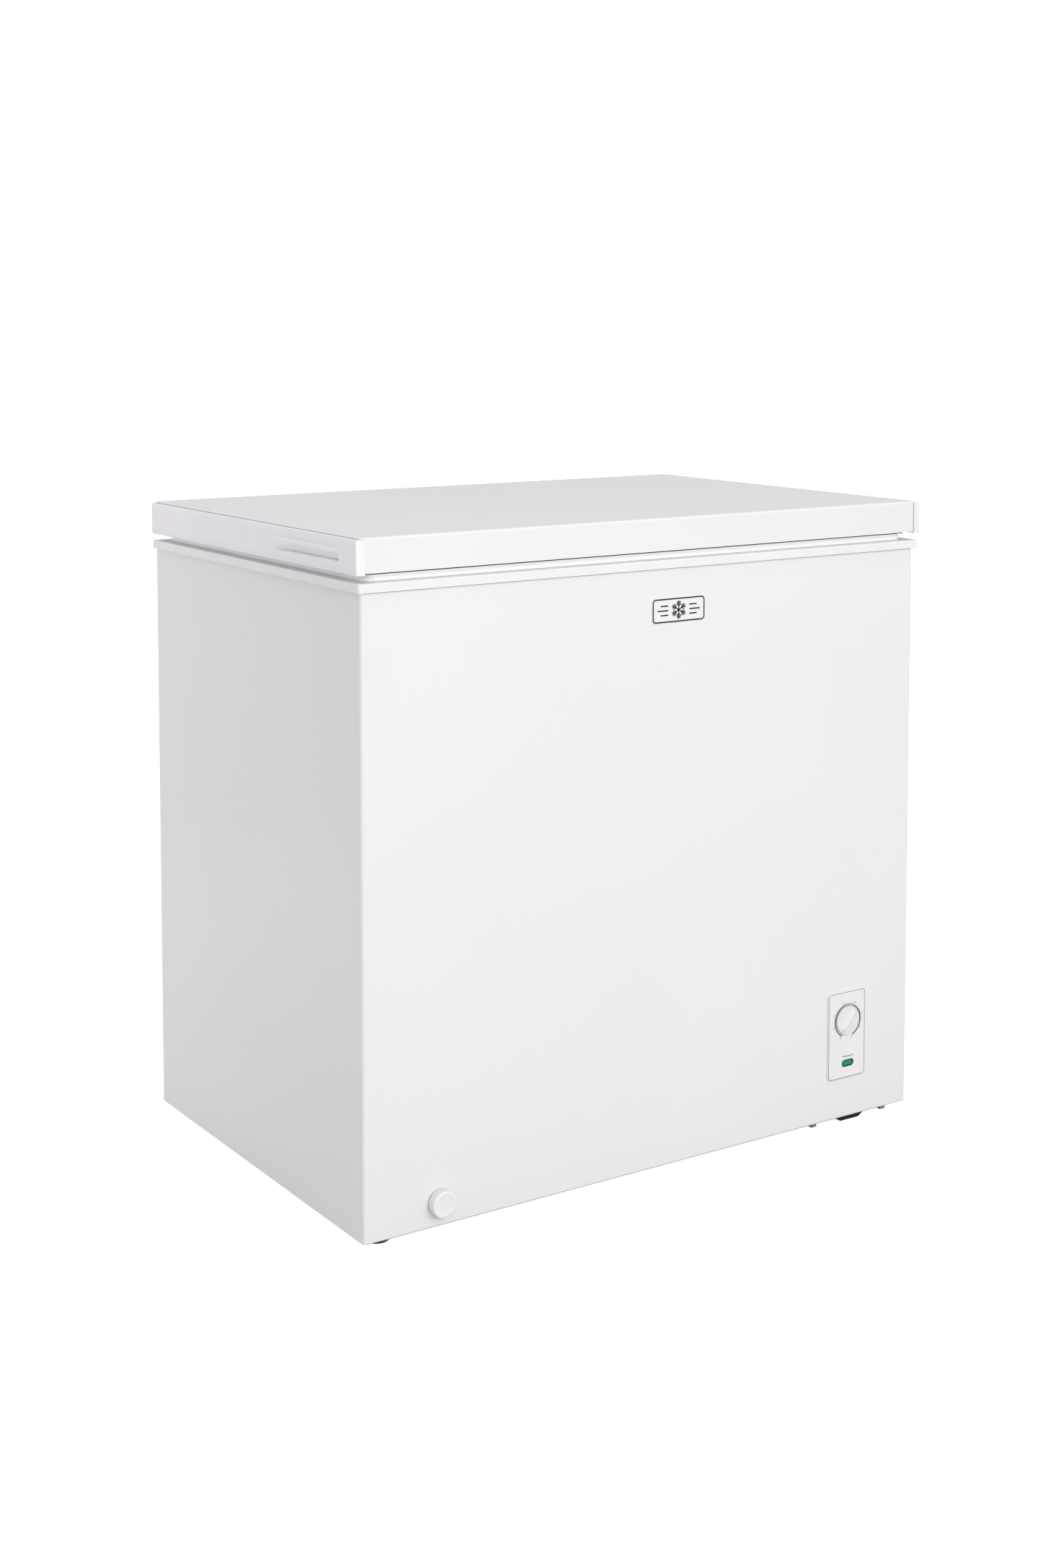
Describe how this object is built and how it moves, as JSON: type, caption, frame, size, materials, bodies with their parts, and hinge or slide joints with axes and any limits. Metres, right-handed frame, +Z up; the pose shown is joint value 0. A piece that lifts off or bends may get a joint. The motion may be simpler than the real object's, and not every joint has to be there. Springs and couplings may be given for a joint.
{
  "type": "chest freezer",
  "caption": "White free-standing chest freezer with a hinged top lid, a lower front control panel and a drain outlet.",
  "frame": {"origin": "on the floor, at the centre of the bounding box seen from above", "axes": "+Z up, the front faces -Y, +X towards the end with the machine compartment"},
  "size_m": [0.872, 0.598, 0.85],
  "materials": {
    "white_steel": "satin",
    "white_plastic": "satin",
    "liner_white": "satin",
    "galvanised": "satin",
    "foam": "matte",
    "copper": "satin",
    "aluminium": "satin",
    "black_shell": "satin",
    "black_steel": "satin",
    "rubber": "matte",
    "gasket_grey": "matte",
    "dark_plastic": "matte",
    "zinc": "satin",
    "green_lens": "gloss",
    "lamp_glass": "gloss",
    "coated_wire": "satin",
    "badge_silver": "gloss"
  },
  "bodies": {
    "cabinet": {"outer_cabinet": "white_steel", "rear_panel": "galvanised", "bottom_panel": "galvanised", "machine_bay_panel": "galvanised", "foam_insulation": "foam", "inner_liner": "liner_white", "evaporator_coil": "aluminium", "condenser_coil": "black_steel", "top_collar": "white_plastic", "badge_plate": "badge_silver", "control_panel": "white_plastic", "thermostat_body": "zinc", "indicator_lens": "green_lens", "indicator_lamp": "lamp_glass", "drain_tube": "white_plastic", "compressor_base": "galvanised", "compressor": "black_shell", "compressor_mount_1": "rubber", "compressor_mount_2": "rubber", "compressor_mount_3": "rubber", "compressor_mount_4": "rubber", "start_relay_cover": "dark_plastic", "suction_line": "copper", "discharge_line": "copper", "filter_drier": "copper", "capillary_tube": "copper", "rear_vent_cover": "galvanised", "power_inlet_gland": "rubber", "cover_screw_1": "zinc", "cover_screw_2": "zinc", "cover_screw_3": "zinc", "cover_screw_4": "zinc", "foot_front_left": "dark_plastic", "foot_rear_left": "dark_plastic", "foot_front_right": "rubber", "foot_rear_right": "rubber", "hinge_base_left": "zinc", "hinge_base_right": "zinc", "hinge_pin_left": "zinc", "hinge_pin_right": "zinc", "hinge_spring_left": "zinc", "hinge_spring_right": "zinc", "hinge_cover_left": "white_plastic", "hinge_cover_right": "white_plastic"},
    "lid": {"lid_outer_panel": "white_steel", "lid_left_end_cap": "white_plastic", "lid_right_end_cap": "white_plastic", "lid_foam": "foam", "lid_inner_liner": "liner_white", "lid_gasket": "gasket_grey", "hinge_arm_left": "zinc", "hinge_arm_right": "zinc"},
    "thermostat_dial": {"thermostat_knob": "white_plastic"},
    "drain_slide": {"drain_spout": "white_plastic"},
    "drain_turn": {"drain_cap": "white_plastic"},
    "floor_plug": {"floor_drain_plug": "dark_plastic"},
    "basket": {"wire_basket": "coated_wire"}
  },
  "joints": [
    {"name": "lid_hinge", "type": "hinge", "parent": "cabinet", "child": "lid", "pos_m": [0, 0.2885, 0.8035], "axis": [-1, 0, 0], "range_deg": [0, 80]},
    {"name": "thermostat_turn", "type": "hinge", "parent": "cabinet", "child": "thermostat_dial", "pos_m": [0.318, -0.285, 0.1514], "axis": [0, 1, 0], "range_deg": [-190, 125]},
    {"name": "drain_pull", "type": "slide", "parent": "cabinet", "child": "drain_slide", "axis": [0, -1, 0], "range_m": [0, 0.028]},
    {"name": "drain_cap_turn", "type": "hinge", "parent": "drain_slide", "child": "drain_turn", "pos_m": [-0.3245, -0.285, 0.0475], "axis": [0, -1, 0], "continuous": true},
    {"name": "floor_plug_lift", "type": "slide", "parent": "cabinet", "child": "floor_plug", "axis": [0, 0, 1], "range_m": [0, 0.12]},
    {"name": "basket_lift", "type": "slide", "parent": "cabinet", "child": "basket", "axis": [0, 0, 1], "range_m": [0, 0.26]}
  ]
}
